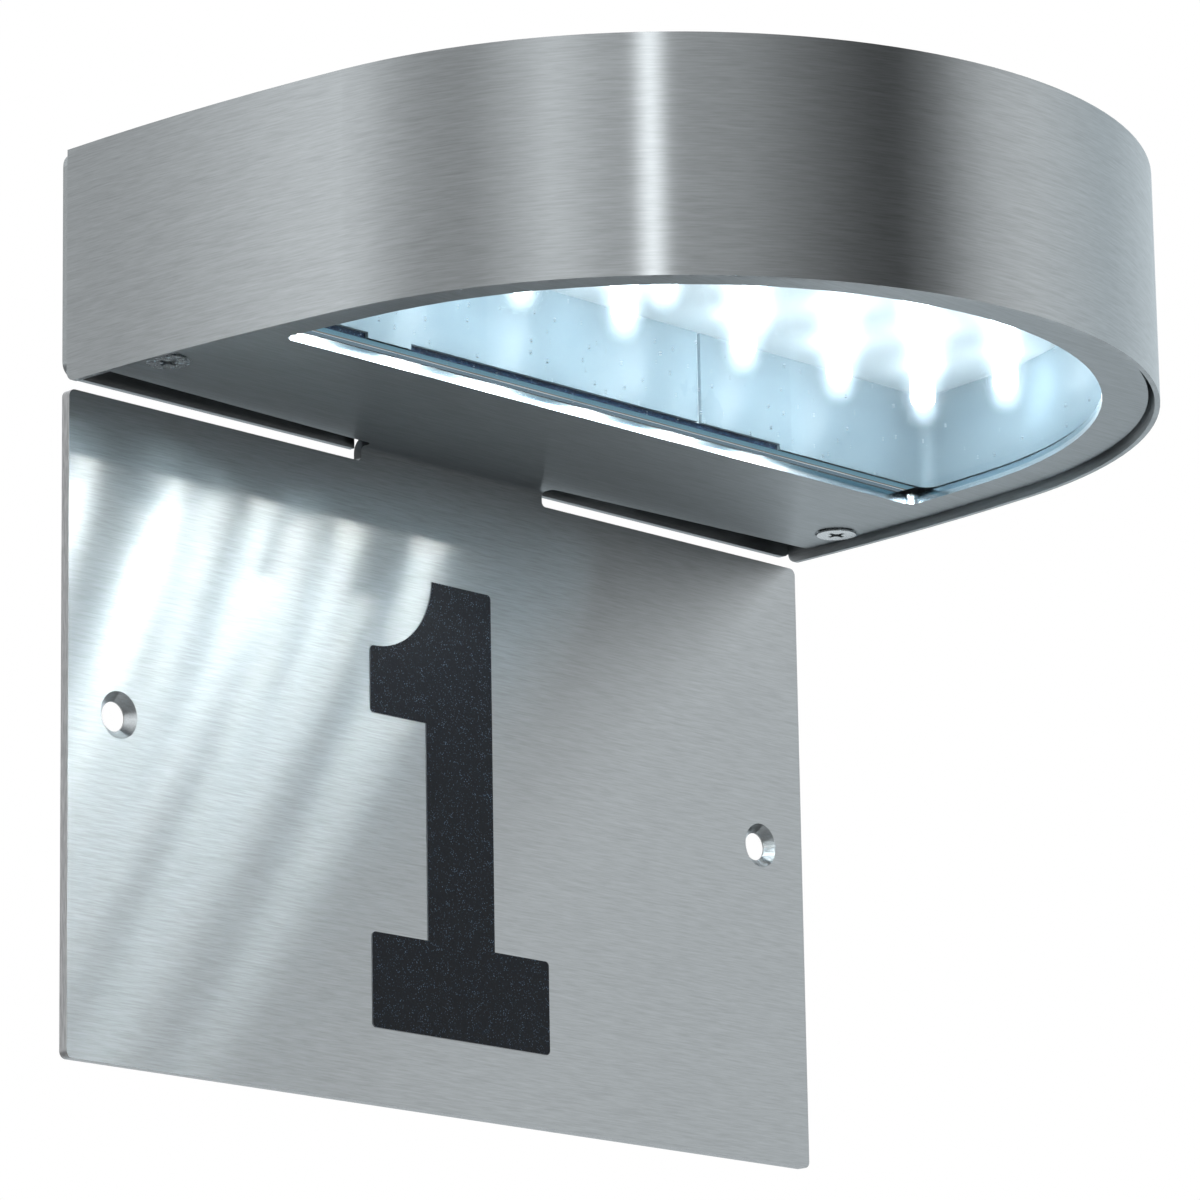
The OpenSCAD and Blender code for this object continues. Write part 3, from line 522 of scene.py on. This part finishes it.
# Widths of the broken edges in millimetres
EDGE = {"number_plate": 0.25, "housing_band": 0.2, "back_wall": 0.2, "top_cover": 0.15, "cover_screws": 0.1}
for node_name, width in EDGE.items():
    bevel = nodes[node_name].modifiers.new("edge", "BEVEL")
    bevel.width = width * MM
    bevel.segments = 2
    bevel.limit_method = "ANGLE"
    bevel.angle_limit = math.radians(40)
    bevel.harden_normals = True


# Camera at the photograph's viewing angle

CAMERA_PLACE = Vector((-0.83879, -0.83673, -0.25967))
CAMERA_RIGHT = Vector((0.69105, -0.72262, -0.01648))
CAMERA_AHEAD = Vector((0.70389, 0.66761, 0.24254))
CAMERA_LENS = 187.75

camera_data = bpy.data.cameras.new("camera")
camera_data.lens = CAMERA_LENS
camera_data.sensor_width = 36
camera_data.clip_end = 100
camera = bpy.data.objects.new("camera", camera_data)
up = CAMERA_RIGHT.cross(CAMERA_AHEAD)
turn = Matrix((CAMERA_RIGHT, up, -CAMERA_AHEAD)).transposed()
camera.matrix_world = Matrix.Translation(CAMERA_PLACE) @ turn.to_4x4()
bpy.context.scene.collection.objects.link(camera)
bpy.context.scene.camera = camera


# A beam below each lamp

BEAM_WATTS = 0.0132
BEAM_COLOR = (1.0, 0.92, 0.86)
BEAM_ANGLE = 157
BEAM_BLEND = 0.05
BEAM_DROP = 1.0 * MM
BEAM_RADIUS = 0.6 * MM
# A lamp this far from the wall has the plain beam; those farther off have more, so that streaks are alike
BEAM_REACH = 84 * MM
BEAM_GAIN = 1.6
# What the lamps themselves light, and the beams don't
OUT_OF_BEAM = ("chamber_strip", "led_board", "leds", "window_pane", "pane_tape")


def lamp_tips():
    """The lowest point of each lamp."""
    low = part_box("leds")[0].z
    tips = []
    for vertex in nodes["leds"].data.vertices:
        place = vertex.co
        if place.z < low + 0.2 * MM and all((place - tip).length > 3 * MM for tip in tips):
            tips.append(Vector(place))
    return tips


def beams():
    lit = bpy.data.collections.new("lit_by_beams")
    for name, node in nodes.items():
        if name not in OUT_OF_BEAM:
            lit.objects.link(node)
    for number, tip in enumerate(lamp_tips()):
        data = bpy.data.lights.new(f"beam_{number}", "SPOT")
        data.energy = BEAM_WATTS * (-tip.y / BEAM_REACH) ** BEAM_GAIN
        data.color = BEAM_COLOR
        data.spot_size = math.radians(BEAM_ANGLE)
        data.spot_blend = BEAM_BLEND
        data.shadow_soft_size = BEAM_RADIUS
        beam = bpy.data.objects.new(data.name, data)
        beam.location = tip - Vector((0, 0, BEAM_DROP))
        beam.visible_camera = False
        beam.visible_transmission = False
        beam.light_linking.receiver_collection = lit
        bpy.context.scene.collection.objects.link(beam)


beams()

# Studio: a pale floor and a room whose brightness changes with the direction

FLOOR_LEVEL = -0.9
FLOOR_SIDE = 1.4

floor_mesh = bpy.data.meshes.new("floor")
half = FLOOR_SIDE / 2
corners = [(x * half, y * half, FLOOR_LEVEL) for x, y in ((-1, -1), (1, -1), (1, 1), (-1, 1))]
floor_mesh.from_pydata(corners, [], [(0, 1, 2, 3)])
floor_mesh.materials.append(plastic("floor_pale", (0.8, 0.8, 0.8), 0.7, 40, 0.0, 0.01))
floor = bpy.data.objects.new("floor", floor_mesh)
bpy.context.scene.collection.objects.link(floor)

# Directions round the object in degrees from +X, with the room's brightness above and below the horizon
ROOM = [
    (0, 0.80), (20, 1.0), (40, 1.25), (80, 1.0), (125, 0.62), (136, 0.52), (150, 1.30), (160, 0.72),
    (170, 0.45), (182, 0.50), (201, 1.25), (212, 0.80), (219, 0.66), (223.5, 2.8), (228, 0.62),
    (245, 0.55), (262, 0.28), (280, 0.02), (290, 0.14), (305, 0.80), (318, 1.0), (345, 0.80), (360, 0.80),
]
ROOM_BELOW = [
    (0, 0.65), (15, 0.64), (60, 0.64), (90, 0.35), (160, 0.3), (190, 0.03), (350, 0.03), (360, 0.65),
]
# The side of the room with cooler light, from the first direction through +X to the second
COOL_SIDE = (345, 60)
COOL = (0.90, 0.965, 1.0)
# Heights of the view direction between which the lower room passes into the upper one
HORIZON = (-0.22, 0.05)


def build_room():
    world = bpy.data.worlds.new("room")
    world.use_nodes = True
    bpy.context.scene.world = world
    tree = world.node_tree
    tree.nodes.clear()
    add, link = tree.nodes.new, tree.links.new

    def math_node(operation, a, b=None):
        node = add("ShaderNodeMath")
        node.operation = operation
        link(a, node.inputs[0])
        if isinstance(b, float):
            node.inputs[1].default_value = b
        elif b is not None:
            link(b, node.inputs[1])
        return node.outputs[0]

    way = add("ShaderNodeTexCoord")
    parts = add("ShaderNodeSeparateXYZ")
    link(way.outputs["Generated"], parts.inputs[0])
    angle = math_node("ARCTAN2", parts.outputs["Y"], parts.outputs["X"])
    share = math_node("FRACT", math_node("DIVIDE", angle, 2 * math.pi))
    top = max(level for _, level in ROOM)
    rings = []
    for stops in (ROOM_BELOW, ROOM):
        ramp = add("ShaderNodeValToRGB")
        link(share, ramp.inputs[0])
        elements = ramp.color_ramp.elements
        while len(elements) < len(stops):
            elements.new(0.5)
        for element, (degrees, level) in zip(elements, stops):
            element.position = degrees / 360
            tint = COOL if degrees <= COOL_SIDE[1] or degrees >= COOL_SIDE[0] else (1, 1, 1)
            element.color = (*(level / top * part for part in tint), 1)
        rings.append(ramp.outputs[0])
    height = add("ShaderNodeMapRange")
    height.interpolation_type = "SMOOTHSTEP"
    link(parts.outputs["Z"], height.inputs["Value"])
    height.inputs["From Min"].default_value, height.inputs["From Max"].default_value = HORIZON
    both = add("ShaderNodeMix")
    both.data_type = "RGBA"
    link(height.outputs[0], both.inputs["Factor"])
    link(rings[0], both.inputs["A"])
    link(rings[1], both.inputs["B"])
    shining = add("ShaderNodeBackground")
    link(both.outputs["Result"], shining.inputs["Color"])
    shining.inputs["Strength"].default_value = top
    seen = add("ShaderNodeBackground")
    seen.inputs["Color"].default_value = (1, 1, 1, 1)
    mix = add("ShaderNodeMixShader")
    link(add("ShaderNodeLightPath").outputs["Is Camera Ray"], mix.inputs[0])
    link(shining.outputs[0], mix.inputs[1])
    link(seen.outputs[0], mix.inputs[2])
    link(mix.outputs[0], add("ShaderNodeOutputWorld").inputs["Surface"])


build_room()
bpy.context.scene.view_settings.view_transform = "Standard"
